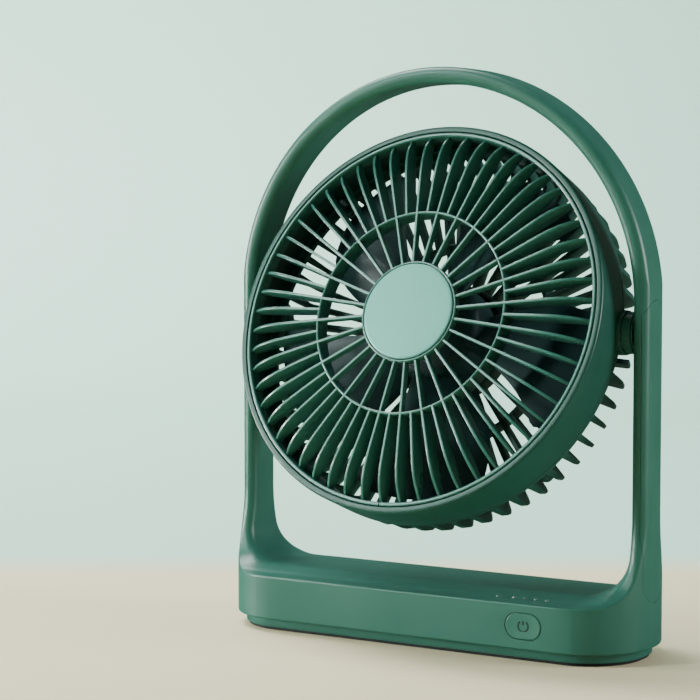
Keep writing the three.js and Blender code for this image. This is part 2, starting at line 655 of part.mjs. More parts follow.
function impellerBody() {
  const hub = solid(turned([
    [1.75, impeller.hubFront - 4], [19.6, impeller.hubFront - 4], [19.6, impeller.hubBack],
    [impeller.hubRadius - 1.4, impeller.hubBack], [impeller.hubRadius, impeller.hubBack + 2],
    [impeller.hubRadius, impeller.hubFront - 5], [impeller.hubRadius - 4, impeller.hubFront - 0.8],
    [impeller.hubRadius - 12, impeller.hubFront], [1.75, impeller.hubFront],
  ], 32));
  const inside = solid(disc(19.6, impeller.hubBack - 4, impeller.hubFront - 4, 32));
  const blades = Array.from({ length: impeller.blades }, (_, i) =>
    fanBlade(215 + (360 / impeller.blades) * i));
  return join(hub, blades.map((one) => cut(one, inside)));
}

const rotor = new THREE.Group();
fanBody.add(rotor);
rotor.add(meshOf("impeller", impellerBody(), bladeGreen));
rotor.add(meshOf("motor_shaft", solid(disc(impeller.shaftRadius, -13, 17.4, 20)), steel));
rotor.add(meshOf(
  "rotor_can",
  solid(turned([
    [1.75, 5.2], [18, 5.2], [18, -6.6], [19.2, -6.6], [19.2, 6.4], [5, 6.4], [5, 9.4], [1.75, 9.4],
  ], 28)),
  steel,
));
rotor.add(meshOf("magnet_ring", solid(ring(15.2, 17.7, -6, 4.6, 28)), black));
rotor.add(meshOf("impeller_nut", solid(ring(1.75, 3.6, impeller.hubFront + GAP, 17, 6)), steel));

const fan = new THREE.Group();
fan.add(stand, head);

export default fan;
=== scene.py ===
"""A rechargeable desk fan whose round head tilts in a D-shaped carrying frame, dressed around its CAD model.

The sizes of the frame and the head are millimetres. The stage, the lights and the camera are set in metres.
The head's pieces are made in the head's own frame, +Z along the fan's axis towards the front and +Y up, and
then placed at the fan's centre.
"""

import json
import math

import bmesh
import bpy
import numpy as np
from mathutils import Matrix, Vector


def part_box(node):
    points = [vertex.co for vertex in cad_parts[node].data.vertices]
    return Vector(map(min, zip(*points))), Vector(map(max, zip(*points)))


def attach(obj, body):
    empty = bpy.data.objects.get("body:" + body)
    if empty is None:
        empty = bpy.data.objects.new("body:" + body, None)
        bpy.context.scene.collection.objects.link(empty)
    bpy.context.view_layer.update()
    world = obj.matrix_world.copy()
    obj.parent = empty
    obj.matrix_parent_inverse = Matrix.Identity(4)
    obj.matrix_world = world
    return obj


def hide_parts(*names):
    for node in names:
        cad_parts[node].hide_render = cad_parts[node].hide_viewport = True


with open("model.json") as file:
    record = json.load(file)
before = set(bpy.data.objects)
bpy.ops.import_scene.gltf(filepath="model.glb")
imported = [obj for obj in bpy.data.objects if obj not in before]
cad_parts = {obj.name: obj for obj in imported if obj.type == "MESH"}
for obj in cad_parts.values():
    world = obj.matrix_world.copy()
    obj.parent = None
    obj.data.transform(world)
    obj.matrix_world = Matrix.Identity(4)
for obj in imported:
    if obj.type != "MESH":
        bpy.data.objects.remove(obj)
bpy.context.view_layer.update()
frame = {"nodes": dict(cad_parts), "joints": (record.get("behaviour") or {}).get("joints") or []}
MM = 0.001


def in_mm(node):
    """A CAD node's lowest and highest corners, in millimetres."""
    low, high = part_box(node)
    return low / MM, high / MM


# ---- Sizes that the CAD model gives ----
shell_low, shell_high = in_mm("frame_shell")
HALF_WIDTH = shell_high.x
HALF_DEPTH = shell_high.y
TOP = shell_high.z
SHELL_BOTTOM = shell_low.z
button_low, button_high = in_mm("power_button")
BUTTON = (button_low + button_high) / 2
cover_low, cover_high = in_mm("side_cover_right")
COVER_MIDDLE = (cover_low.z + cover_high.z) / 2
COVER_HALF = (cover_high.z - cover_low.z) / 2
lights_low, lights_high = in_mm("light_guide")
LIGHT_Y = (lights_low.y + lights_high.y) / 2
usb_low, usb_high = in_mm("usb_c_socket")
USB_X = (usb_low.x + usb_high.x) / 2
USB_Z = usb_high.z - 1.65  # the socket is 3.3 high
tilt_joint = next(j for j in frame["joints"] if j["name"] == "head_tilt")
spin_joint = next(j for j in frame["joints"] if j["name"] == "rotor_spin")
PIVOT = Vector(tilt_joint["pos_m"])
FAN_CENTRE = Vector(spin_joint["pos_m"])
TILT = math.asin(spin_joint["axis"][2])
PIVOT_ABOVE = (PIVOT - FAN_CENTRE).length / MM

# ---- Sizes of the frame ----
POST = 7.5  # thickness of the posts and the arch
END_RADIUS = 31.2  # the base's round ends, seen from above
EDGE = 25.7  # height of the base's upper edge
BASE_TOP = 28.7
FILLET = 17.0  # between the base's top and the posts
NOSE_RADIUS = 3.5  # rounding of the posts' edges
EDGE_RADIUS = 0.9  # rounding of the base's edges
CROWN, CROWN_REACH = 0.5, 21  # how much the base's top is domed, and how far from its middle line
BLEND_START, CROWN_END, NOSE_END = 30, 48, 62  # heights between which base and post blend
FLARE_DEPTH = [33.5, 27.4, 24.6, 21.6, 18.7, 16.6, 14.8, 13.2, 11.6, 10.4, 9.8]
FLARE_HEIGHT = [25.7, 26.3, 27.5, 29.1, 31.5, 34.0, 37.2, 41.6, 48.0, 54.5, 61.0]
FLARE_END = 66
ARCH_HEIGHT = TOP - HALF_WIDTH
SECTION_COUNTS = {"base": 15, "corner": 44, "flare": 11, "post": 16, "arch": 56}
COVER_HALF_WIDTH = 9.9
COVER_THICKNESS = 2.7
SEAM = 0.18
PIVOT_BORE = 4.6

# ---- Sizes of what sits in the base ----
LIGHT_GAPS = (0, 7.8, 13.1, 18.3, 23.8)  # each light's distance from the first
LIGHT_START = 2  # the first light's distance from the guide's end
LIGHT_RADIUS = 0.8
LIGHT_BOTTOM, LIGHT_TOP = 24.6, 26.2
light_x = [lights_low.x + LIGHT_START + gap for gap in LIGHT_GAPS]
USB_HALF_WIDTH, USB_HALF_HEIGHT, USB_RECESS = 4.9, 2.05, 8.2
BUTTON_HALF_WIDTH, BUTTON_HALF_HEIGHT = 8.55, 5.65
BUTTON_GAP, BUTTON_RECESS = 0.3, 3
FOOT_INSET, PAD_INSET = 4.0, 5.2

# ---- Sizes of the head: radii from the fan's axis, and heights along it ----
DRUM, DRUM_INNER = 90.55, 88.5
DRUM_BACK, DRUM_FRONT = 5.0, 26.95
LEDGE, LEDGE_INNER = 20.8, 86.1  # the ledge that the grille sits on
COLLAR, COLLAR_BORE = 9.9, 5.3
COLLAR_START, COLLAR_END = 87.0, 92.1
RIM_OUTER, RIM_INNER, RIM_FRONT = 87.3, 85.5, 27.0
RIM_GAP = 0.005  # in radians
GRILLE_FRONT = 32.2
GRILLE_DISH, GRILLE_DROP, GRILLE_LEVEL = 0.3, 6.6, 50  # even fall, steep fall, and where the steep one starts
MIDDLE_RING, MIDDLE_BACK = 46.9, 23.5
HUB, HUB_BACK = 23.5, 28.6
BADGE, BADGE_SEAT = 22.2, 22.55
SPOKES = 28
SPOKE_ROUNDING = 0.45  # as a share of half the width
SPOKE_WIDTH, OUTER_TAIL, INNER_TAIL = 1.3, 0.95, 1.0
OUTER_BACK, OUTER_FALL, INNER_BACK = 23.6, 2.2, 28.4
FINS = 56
FIN_PHASE = 0.32  # as a share of the pitch
FIN_BACK, FIN_INSIDE = -19.9, -12.5
FIN_TIP, FIN_TAPER = 1.8, 0.075
RIB_WIDTH = 1.9
REAR_INNER, REAR_OUTER = 84.8, 90.5
REAR_BACK, REAR_FRONT = 2.2, 4.7
REAR_MIDDLE, REAR_MIDDLE_HALF = 48.0, 0.8
PLATE, PLATE_INNER, PLATE_FLOOR, PLATE_FRONT = 27.0, 25.0, 2.4, -12.0
BEADS = [(12.0, 13.0), (18.5, 19.5)]  # fine rings on the motor's plate
PIVOT_ROOM = 12.0  # fins nearer to the tilt axis than this have no side
SCREW_RING = 84.8
SCREW_ANGLES = [45, 135, 225, 315]  # in degrees
SCREW_BORE, SCREW_POST = 1.6, 3.6
SCREW_BACK, SCREW_FRONT = -9.5, 4.5
BOSS_BORE, SHAFT, BOSS_INNER, BOSS_OUTER = 2.0, 4.0, 8.7, 9.2
BOSS_START, BOSS_STEP, BOSS_END, SHAFT_END = 87.5, 92.4, 96.3, 102.0
BLADES = 5
BLADE_ROOT, BLADE_TIP = 22.4, 79.0
BLADE_PHASE, BLADE_SPAN, BLADE_SWEEP = 215, 50, -16  # in degrees
BLADE_RISE, BLADE_CENTRE, BLADE_CAMBER = 17, 4.5, 5
BLADE_THICKNESS, BLADE_THINNING = 2.1, 1.1  # at the root, and by how much less at the tip
IMPELLER_HUB, IMPELLER_CAN, IMPELLER_BORE = 24.0, 19.6, 1.75
IMPELLER_BACK, IMPELLER_FRONT = -8.0, 14.0


# ---- Materials ----
SHEEN_LEVEL = 0.5
CLOUD_SCALE, CLOUD_SPREAD = 45, 0.04
GRAIN_SCALE, GRAIN_DEPTH = 3500, 0.00006


def node_material(name, base, roughness, metallic=0.0):
    """A material with its constants set on the shader, and that shader, for other functions to link to."""
    material = bpy.data.materials.new(name)
    material.use_nodes = True
    shader = material.node_tree.nodes["Principled BSDF"]
    shader.inputs["Base Color"].default_value = (*base, 1)
    shader.inputs["Roughness"].default_value = roughness
    shader.inputs["Metallic"].default_value = metallic
    shader.inputs["Specular IOR Level"].default_value = 0.5 if metallic else SHEEN_LEVEL
    return material, shader


def add_noise(material, scale, detail=3.0, stretch=(1, 1, 1)):
    """A noise texture that stays with the piece, its scale in cycles to the metre."""
    nodes, links = material.node_tree.nodes, material.node_tree.links
    place = nodes.new("ShaderNodeTexCoord")
    mapping = nodes.new("ShaderNodeMapping")
    mapping.inputs["Scale"].default_value = stretch
    noise = nodes.new("ShaderNodeTexNoise")
    noise.inputs["Scale"].default_value = scale
    noise.inputs["Detail"].default_value = detail
    links.new(place.outputs["Object"], mapping.inputs["Vector"])
    links.new(mapping.outputs["Vector"], noise.inputs["Vector"])
    return noise


def add_ramp(material, source, low, high, start=0.3, end=0.7):
    """A ramp between two colours, driven by a texture."""
    ramp = material.node_tree.nodes.new("ShaderNodeValToRGB")
    ramp.color_ramp.elements[0].position = start
    ramp.color_ramp.elements[1].position = end
    ramp.color_ramp.elements[0].color = low
    ramp.color_ramp.elements[1].color = high
    material.node_tree.links.new(source, ramp.inputs["Fac"])
    return ramp.outputs["Color"]


def vary(material, shader, base, amount, scale, roughness, spread):
    """Slight cloudiness in colour and roughness, as moulded plastic has."""
    cloud = add_noise(material, scale)
    low = (*[c * (1 - amount) for c in base], 1)
    high = (*[min(1, c * (1 + amount)) for c in base], 1)
    links = material.node_tree.links
    links.new(add_ramp(material, cloud.outputs["Fac"], low, high), shader.inputs["Base Color"])
    dull, dry = roughness - spread, roughness + spread
    tone = add_ramp(material, cloud.outputs["Fac"], (dull, dull, dull, 1), (dry, dry, dry, 1))
    links.new(tone, shader.inputs["Roughness"])


def grain(material, shader, scale, strength, distance, stretch=(1, 1, 1)):
    """A fine surface grain as bump, stretched for tool marks."""
    texture = add_noise(material, scale, 2.0, stretch)
    bump = material.node_tree.nodes.new("ShaderNodeBump")
    bump.inputs["Strength"].default_value = strength
    bump.inputs["Distance"].default_value = distance
    material.node_tree.links.new(texture.outputs["Fac"], bump.inputs["Height"])
    material.node_tree.links.new(bump.outputs["Normal"], shader.inputs["Normal"])


def plastic(name, base, roughness=0.42, amount=0.06, strength=0.35, coat=0.0):
    """Satin moulded plastic with a spark-eroded grain."""
    material, shader = node_material(name, base, roughness)
    vary(material, shader, base, amount, CLOUD_SCALE, roughness, CLOUD_SPREAD)
    grain(material, shader, GRAIN_SCALE, strength, GRAIN_DEPTH)
    shader.inputs["Coat Weight"].default_value = coat
    shader.inputs["Coat Roughness"].default_value = 0.25
    return material


def metal(name, base, roughness, scale=900, stretch=(1, 1, 1)):
    """Turned or plated metal with fine tool marks."""
    material, shader = node_material(name, base, roughness, 1.0)
    vary(material, shader, base, 0.08, 300, roughness, 0.08)
    grain(material, shader, scale, 0.2, 0.00004, stretch)
    return material


def board_material():
    """Solder mask over copper, with tracks that show as faint cells."""
    material, shader = node_material("board_mask", (0.02, 0.13, 0.05), 0.35)
    nodes, links = material.node_tree.nodes, material.node_tree.links
    place = nodes.new("ShaderNodeTexCoord")
    cells = nodes.new("ShaderNodeTexVoronoi")
    cells.distance = "MANHATTAN"
    cells.feature = "DISTANCE_TO_EDGE"
    cells.inputs["Scale"].default_value = 260
    links.new(place.outputs["Object"], cells.inputs["Vector"])
    track, mask = (0.03, 0.2, 0.08, 1), (0.015, 0.1, 0.04, 1)
    colour = add_ramp(material, cells.outputs["Distance"], track, mask, 0.02, 0.06)
    links.new(colour, shader.inputs["Base Color"])
    return material


def badge_material():
    """Satin anodised metal with a fine blasted grain."""
    base = (0.13, 0.36, 0.3)
    material, shader = node_material("badge_satin", base, 0.48, 0.6)
    vary(material, shader, base, 0.08, 60, 0.48, 0.05)
    grain(material, shader, 2600, 0.6, GRAIN_DEPTH)
    return material


FRAME_GREEN = (0.028, 0.132, 0.098)
GRILLE_GREEN = (0.034, 0.155, 0.122)
materials = {
    "frame": plastic("frame_plastic", FRAME_GREEN, 0.37),
    "cover": plastic("cover_plastic", FRAME_GREEN, 0.37),
    # The drum is the same plastic as the frame; its colour is set darker than the frame's as painted shade,
    # for the shade it sits in inside the frame.
    "drum": plastic("drum_plastic_painted_shade", (0.011, 0.072, 0.053), 0.35),
    "grille": plastic("grille_plastic", GRILLE_GREEN, 0.3, strength=0.2, coat=0.6),
    "rear": plastic("rear_plastic", (0.014, 0.078, 0.06), 0.45),
    "button": plastic("button_plastic", (0.031, 0.142, 0.104), 0.36),
    "pivot": plastic("pivot_plastic", (0.016, 0.1, 0.07), 0.42),
    "impeller": plastic("impeller_plastic", (0.008, 0.045, 0.045), 0.5),
    "icon": plastic("icon_ink", (0.002, 0.016, 0.012), 0.5),
    "black": plastic("black_plastic", (0.012, 0.012, 0.013), 0.5),
    "pad": plastic("pad_rubber", (0.012, 0.014, 0.013), 0.8, strength=0.6),
    "sleeve": plastic("lead_sleeve", (0.012, 0.012, 0.012), 0.6),
    "light": plastic("light_guide", (0.16, 0.22, 0.2), 0.15, coat=0.5),
    "lens": plastic("indicator_lens", (0.003, 0.012, 0.01), 0.4),
    "cell": plastic("cell_wrap", (0.03, 0.16, 0.42), 0.25, coat=0.4),
    "magnet": plastic("ferrite", (0.02, 0.02, 0.022), 0.6),
    "steel": metal("steel", (0.62, 0.63, 0.64), 0.3),
    "brass": metal("brass", (0.72, 0.5, 0.2), 0.3),
    "copper": metal("windings", (0.6, 0.24, 0.09), 0.35, 2500, (1, 1, 6)),
    "board": board_material(),
    "badge": badge_material(),
}


# ---- Mesh helpers ----
SHARP_ANGLE = math.radians(32)
MERGE_DISTANCE = 1e-7


def put(name, data):
    """A new object in the scene."""
    made = bpy.data.objects.new(name, data)
    bpy.context.scene.collection.objects.link(made)
    return made


def new_mesh(name, points, faces, merge=False):
    """A mesh in metres from points in millimetres, with its faces turned outwards.

    Doubled points are merged if asked.
    """
    mesh = bpy.data.meshes.new(name)
    mesh.from_pydata((np.asarray(points, float) * MM).tolist(), [], [list(f) for f in faces])
    edit = bmesh.new()
    edit.from_mesh(mesh)
    if merge:
        bmesh.ops.remove_doubles(edit, verts=edit.verts, dist=MERGE_DISTANCE)
    bmesh.ops.recalc_face_normals(edit, faces=edit.faces)
    edit.to_mesh(mesh)
    edit.free()
    return mesh


def piece(name, points, faces, material, body, slot, replaces=(), place=None):
    """A smooth-shaded piece that rides on a CAD body and stands for CAD nodes; its slot argument is not used.
    """
    mesh = new_mesh(name, points, faces, merge=True)
    if place is not None:
        mesh.transform(place)
    mesh.materials.append(material)
    mesh.shade_smooth()
    mesh.set_sharp_from_angle(angle=SHARP_ANGLE)
    made = put(name, mesh)
    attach(made, body)
    if replaces:
        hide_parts(*replaces)
    return made


def prism(name, rings):
    """A closed cutter through rings of points."""
    return put(name, new_mesh(name, *stack(rings)))


def bake(target, modifier):
    """Replaces an object's mesh by what a modifier makes of it."""
    graph = bpy.context.evaluated_depsgraph_get()
    made = bpy.data.meshes.new_from_object(target.evaluated_get(graph))
    target.modifiers.remove(modifier)
    old = target.data
    target.data = made
    bpy.data.meshes.remove(old)
    made.name = target.name


def cut(target, cutter, operation="DIFFERENCE"):
    """Takes the cutter's volume out of the target, or keeps only what lies in it, and removes the cutter."""
    modifier = target.modifiers.new("cut", "BOOLEAN")
    modifier.operation = operation
    modifier.solver = "EXACT"
    modifier.object = cutter
    bake(target, modifier)
    bpy.data.objects.remove(cutter)
    target.data.shade_smooth()
    target.data.set_sharp_from_angle(angle=SHARP_ANGLE)


def weigh_normals(target):
    """Lets the large faces set the shading, so that narrow roundings between them look crisp."""
    modifier = target.modifiers.new("weigh", "WEIGHTED_NORMAL")
    modifier.keep_sharp = True
    modifier.weight = 70
    bake(target, modifier)


def grid_faces(rows, columns, close_rows=False, close_columns=False):
    """Quads over a grid of points kept row by row."""
    row_end = rows if close_rows else rows - 1
    column_end = columns if close_columns else columns - 1
    faces = []
    for i in range(row_end):
        for j in range(column_end):
            a, b = i * columns + j, i * columns + (j + 1) % columns
            c, d = (i + 1) % rows * columns + (j + 1) % columns, (i + 1) % rows * columns + j
            faces.append((a, b, c, d))
    return faces


def joined(parts):
    """Several (points, faces) pairs as one."""
    points, faces, start = [], [], 0
    for some_points, some_faces in parts:
        points.extend(some_points)
        faces.extend([tuple(i + start for i in f) for f in some_faces])
        start += len(some_points)
    return points, faces


def rounded(corners, radius, steps=4):
    """A closed outline with its corners rounded; a corner may carry a radius of its own."""
    straight, longest = math.pi - 0.02, 0.48
    outline = []
    count = len(corners)
    for i, corner in enumerate(corners):
        here = np.array(corner[:2], float)
        before = np.array(corners[i - 1][:2], float) - here
        after = np.array(corners[(i + 1) % count][:2], float) - here
        size = corner[2] if len(corner) > 2 else radius
        reach = [np.linalg.norm(before), np.linalg.norm(after)]
        before, after = before / reach[0], after / reach[1]
        angle = math.acos(float(np.clip(before @ after, -1, 1)))
        if size <= 0 or angle > straight:
            outline.append(here)
            continue
        length = min(size / math.tan(angle / 2), longest * min(reach))
        size = length * math.tan(angle / 2)
        centre = here + (before + after) / np.linalg.norm(before + after) * size / math.sin(angle / 2)
        first = here + before * length - centre
        last = here + after * length - centre
        turn = math.atan2(first[0] * last[1] - first[1] * last[0], float(first @ last))
        for k in range(steps + 1):
            c, s = math.cos(turn * k / steps), math.sin(turn * k / steps)
            outline.append(centre + np.array([first[0] * c - first[1] * s, first[0] * s + first[1] * c]))
    return outline


def lathe(profile, segments, closed=True):
    """A profile of (radius, height) points turned about Z."""
    angles = np.arange(segments) * 2 * math.pi / segments
    points = []
    for a in angles:
        points.extend([(r * math.cos(a), r * math.sin(a), z) for r, z in profile])
    return points, grid_faces(segments, len(profile), close_rows=True, close_columns=closed)


def stack(rings):
    """A skin through rings that have the same number of points, closed by flat caps."""
    count = len(rings[0])
    points = [tuple(p) for ring in rings for p in ring]
    faces = grid_faces(len(rings), count, close_columns=True)
    faces.append(tuple(reversed(range(count))))
    faces.append(tuple(range((len(rings) - 1) * count, len(rings) * count)))
    return points, faces


def along_x(outline, places):
    """An outline of (y, z) points, repeated at places along X."""
    return [[(x, y, z) for y, z in outline] for x in places]


def along_y(outline, places):
    """An outline of (x, z) points, repeated at places along Y."""
    return [[(x, y, z) for x, z in outline] for y in places]


def rectangle(half_width, half_height, radius, steps=12, cx=0.0, cy=0.0):
    """Points round a rectangle with round corners."""
    outline = []
    radius = max(radius, 0.05)
    for k, (sx, sy) in enumerate([(1, 1), (-1, 1), (-1, -1), (1, -1)]):
        for i in range(steps + 1):
            a = math.pi / 2 * (k + i / steps)
            x = cx + sx * (half_width - radius) + radius * math.cos(a)
            outline.append((x, cy + sy * (half_height - radius) + radius * math.sin(a)))
    return outline


def pill(inset, steps):
    """The button's outline, (x, z) points: round at both ends and drawn in by the inset."""
    half_height = BUTTON_HALF_HEIGHT - inset
    return rectangle(BUTTON_HALF_WIDTH - inset, half_height, half_height, steps, BUTTON.x, BUTTON.z)


def slab(half_width, half_depth, radius, heights, steps=20):
    """Rounded rectangles at (inset, height) pairs, seen from above."""
    rings = []
    for inset, z in heights:
        outline = rectangle(half_width - inset, half_depth - inset, radius - inset, steps)
        rings.append([(x, y, z) for x, y in outline])
    return rings


def circle(radius, count, cx=0.0, cy=0.0):
    """Points round a circle."""
    turns = [2 * math.pi * i / count for i in range(count)]
    return [(cx + radius * math.cos(a), cy + radius * math.sin(a)) for a in turns]


# ---- The carrying frame, as the meeting of three smooth outlines ----
def round_max(a, b, radius):
    """The meeting of two outlines, with the edge between them rounded."""
    inner = np.minimum(np.maximum(a, b), -radius)
    return inner + np.hypot(np.maximum(a + radius, 0), np.maximum(b + radius, 0))


def round_corner(a, b, radius):
    """Distance from a corner with an arc, given the distances past the arc's centre; negative inside."""
    return np.hypot(np.maximum(a, 0), np.maximum(b, 0)) + np.minimum(np.maximum(a, b), 0) - radius


def ease(value, low, high):
    """0 below low, 1 above high, and smooth in between."""
    t = np.clip((value - low) / (high - low), 0, 1)
    return t * t * (3 - 2 * t)


def smooth_curve(xs, ys, count=400):
    """A table of a curve through a few points: a Catmull-Rom spline."""
    p = np.column_stack([xs, ys]).astype(float)
    p = np.vstack([2 * p[0] - p[1], p, 2 * p[-1] - p[-2]])
    samples = []
    for i in range(1, len(p) - 2):
        for t in np.linspace(0, 1, count // len(xs), endpoint=False):
            a, b, c, d = p[i - 1 : i + 3]
            point = 2 * b + (c - a) * t
            point = point + (2 * a - 5 * b + 4 * c - d) * t**2
            point = point + (3 * b - a - 3 * c + d) * t**3
            samples.append(0.5 * point)
    samples.append(p[-2])
    return np.array(samples)


flare_curve = smooth_curve(FLARE_HEIGHT, FLARE_DEPTH)
FIRST_SLOPE = (FLARE_DEPTH[1] - FLARE_DEPTH[0]) / (FLARE_HEIGHT[1] - FLARE_HEIGHT[0])


def half_depth(z):
    """Half the frame's depth at a height, seen from the side, and its slope.

    Below the base's upper edge the first stretch runs straight on, so that the edge can be rounded.
    """
    step = 0.25
    depth = np.interp(z, flare_curve[:, 0], flare_curve[:, 1])
    further = np.interp(z + step, flare_curve[:, 0], flare_curve[:, 1])
    slope = (further - depth) / step
    below = z < EDGE
    slope = np.where(below, FIRST_SLOPE, slope)
    depth = np.where(below, depth + FIRST_SLOPE * (z - EDGE), depth)
    return depth, slope


def frame_field(x, y, z):
    """Negative inside the frame and positive outside, near enough in millimetres."""
    x, y = np.abs(x), np.abs(y)
    plan = round_corner(x - (HALF_WIDTH - END_RADIUS), y - (HALF_DEPTH - END_RADIUS), END_RADIUS)
    depth, slope = half_depth(z)
    side = (y - depth) / np.sqrt(1 + slope**2)
    in_arch = z > ARCH_HEIGHT
    reach = np.hypot(x, z - ARCH_HEIGHT)
    outer = np.where(in_arch, reach - HALF_WIDTH, x - HALF_WIDTH)
    crown = CROWN * np.clip(1 - (y / CROWN_REACH) ** 2, 0, 1) * (1 - ease(z, BLEND_START, CROWN_END))
    low_hole = round_corner(x - (HALF_WIDTH - POST - FILLET), BASE_TOP + crown + FILLET - z, FILLET)
    hole = np.where(in_arch, reach - (HALF_WIDTH - POST), low_hole)
    edge = EDGE_RADIUS + (NOSE_RADIUS - EDGE_RADIUS) * ease(z, BLEND_START, NOSE_END)
    skin = round_max(np.maximum(plan, outer), side, edge)
    skin = round_max(skin, -hole, NOSE_RADIUS)
    return round_max(skin, SHELL_BOTTOM - z, EDGE_RADIUS)


def frame_sections():
    """Cross-sections round the loop: each one's centre, and the direction away from the loop's middle."""
    inner_x = HALF_WIDTH - POST - FILLET
    inner_z = BASE_TOP + FILLET
    middle = HALF_WIDTH - POST / 2
    sections = []
    for x in np.linspace(0, inner_x, SECTION_COUNTS["base"])[:-1]:
        sections.append((x, (BASE_TOP + SHELL_BOTTOM) / 2, 0.0, -1.0))
    for turn in np.linspace(math.pi / 2, 0, SECTION_COUNTS["corner"])[:-1]:
        c, s = math.cos(turn), math.sin(turn)
        reach = min((HALF_WIDTH - inner_x) / max(c, 1e-9), (inner_z - SHELL_BOTTOM) / max(s, 1e-9))
        away = (FILLET + reach) / 2
        sections.append((inner_x + away * c, inner_z - away * s, c, -s))
    for z in np.linspace(inner_z, FLARE_END, SECTION_COUNTS["flare"])[:-1]:
        sections.append((middle, z, 1.0, 0.0))
    for z in np.linspace(FLARE_END, ARCH_HEIGHT, SECTION_COUNTS["post"])[:-1]:
        sections.append((middle, z, 1.0, 0.0))
    for turn in np.linspace(0, math.pi / 2, SECTION_COUNTS["arch"]):
        c, s = math.cos(turn), math.sin(turn)
        sections.append((middle * c, ARCH_HEIGHT + middle * s, c, s))
    mirrored = [(-x, z, -dx, dz) for x, z, dx, dz in sections[1:-1]]
    return sections + mirrored[::-1]


def frame_surface(around=84, fine=1200):
    """Points where rays from each section's centre leave the frame, crowded where the section bends."""
    longest, halvings, window, crowding = 60.0, 26, 9, 2.4
    sections = np.array(frame_sections())
    angles = np.linspace(0, math.pi, fine)
    out, across = np.cos(angles)[None, :], np.sin(angles)[None, :]
    cx, cz, dx, dz = (sections[:, k : k + 1] for k in range(4))
    near, far = np.zeros((len(sections), fine)), np.full((len(sections), fine), longest)
    for _ in range(halvings):
        middle = (near + far) / 2
        value = frame_field(cx + middle * out * dx, -middle * across, cz + middle * out * dz)
        near, far = np.where(value < 0, middle, near), np.where(value < 0, far, middle)
    u, v = near * out, near * across
    step_u, step_v = np.diff(u, axis=1), np.diff(v, axis=1)
    length = np.hypot(step_u, step_v)
    heading = np.unwrap(np.arctan2(step_v, step_u), axis=1)
    bend = np.abs(np.diff(heading, axis=1))
    bend = np.concatenate([bend, bend[:, -1:]], axis=1)
    kernel = np.ones(window) / window
    bend = np.apply_along_axis(lambda row: np.convolve(row, kernel, "same"), 1, bend)
    measure = length / length.sum(axis=1, keepdims=True) + crowding * bend / math.pi
    measure = np.concatenate([np.zeros((len(sections), 1)), np.cumsum(measure, axis=1)], axis=1)
    share = np.linspace(0, 1, around + 1)
    rings = []
    for k in range(len(sections)):
        ru = np.interp(share, measure[k] / measure[k, -1], u[k])
        rv = np.interp(share, measure[k] / measure[k, -1], v[k])
        ring = [(cx[k, 0] + a * dx[k, 0], -b, cz[k, 0] + a * dz[k, 0]) for a, b in zip(ru, rv)]
        ring += [(x, -y, z) for x, y, z in ring[-2:0:-1]]
        rings.append(ring)
    points = [p for ring in rings for p in ring]
    return points, grid_faces(len(rings), len(rings[0]), close_rows=True, close_columns=True)


def cover_outline(grow, steps=20):
    """The side cover's outline, (y, z) points, round at both ends."""
    half = COVER_HALF_WIDTH + grow
    straight = COVER_HALF - COVER_HALF_WIDTH
    outline = []
    for k, middle in enumerate([straight, -straight]):
        for i in range(steps + 1):
            a = math.pi * (k + i / steps)
            outline.append((half * math.cos(a), COVER_MIDDLE + middle + half * math.sin(a)))
    return outline


def cover_block(side, grow):
    """The block that parts a side cover from the frame."""
    inner, outer = HALF_WIDTH - COVER_THICKNESS - grow, HALF_WIDTH + 2
    return prism("cover_block", along_x(cover_outline(grow), (side * inner, side * outer)))


def side_cover(side, end):
    """The strip let into a post's outer side: the frame's own surface, parted from it by a fine seam."""
    surface, stands_for = frame_surface(), [f"side_cover_{end}"]
    made = piece(f"cover_strip_{end}", *surface, materials["cover"], "stand", "body_green", stands_for)
    cut(made, cover_block(side, 0), "INTERSECT")
    weigh_normals(made)


def carrying_frame():
    """The frame, with its recesses for the covers, the pivots, the button, the socket and the lights."""
    surface = frame_surface()
    made = piece("carrying_frame", *surface, materials["frame"], "stand", "body_green", ["frame_shell"])
    for side in (-1, 1):
        cut(made, cover_block(side, SEAM))
        ends = (side * (HALF_WIDTH - POST - 1), side * (HALF_WIDTH - COVER_THICKNESS - 0.1))
        cut(made, prism("pivot_bore", along_x(circle(PIVOT_BORE, 40, 0, PIVOT.z / MM), ends)))
    recess = along_y(pill(-BUTTON_GAP, 12), (-HALF_DEPTH - 1, -HALF_DEPTH + BUTTON_RECESS))
    cut(made, prism("button_recess", recess))
    slot = rectangle(USB_HALF_WIDTH, USB_HALF_HEIGHT, USB_HALF_HEIGHT, 8, USB_X, USB_Z)
    cut(made, prism("socket_recess", along_y(slot, (HALF_DEPTH + 1, HALF_DEPTH - USB_RECESS))))
    for x in light_x:
        hole = circle(LIGHT_RADIUS + 0.1, 20, x, LIGHT_Y)
        ends = (LIGHT_BOTTOM - 0.1, BASE_TOP + 2.3)
        cut(made, prism("light_hole", [[(a, b, z) for a, b in hole] for z in ends]))
    weigh_normals(made)


def indicator_lights():
    """The ends of the light guide, set below the base's top."""
    profile = [(LIGHT_RADIUS, LIGHT_BOTTOM), (LIGHT_RADIUS, LIGHT_TOP - 0.2)]
    profile += [(LIGHT_RADIUS - 0.18, LIGHT_TOP)]
    parts = []
    for x in light_x:
        parts.append(stack([[(a, b, z) for a, b in circle(r, 20, x, LIGHT_Y)] for r, z in profile]))
    piece("indicator_lights", *joined(parts), materials["lens"], "stand", "light_guide")


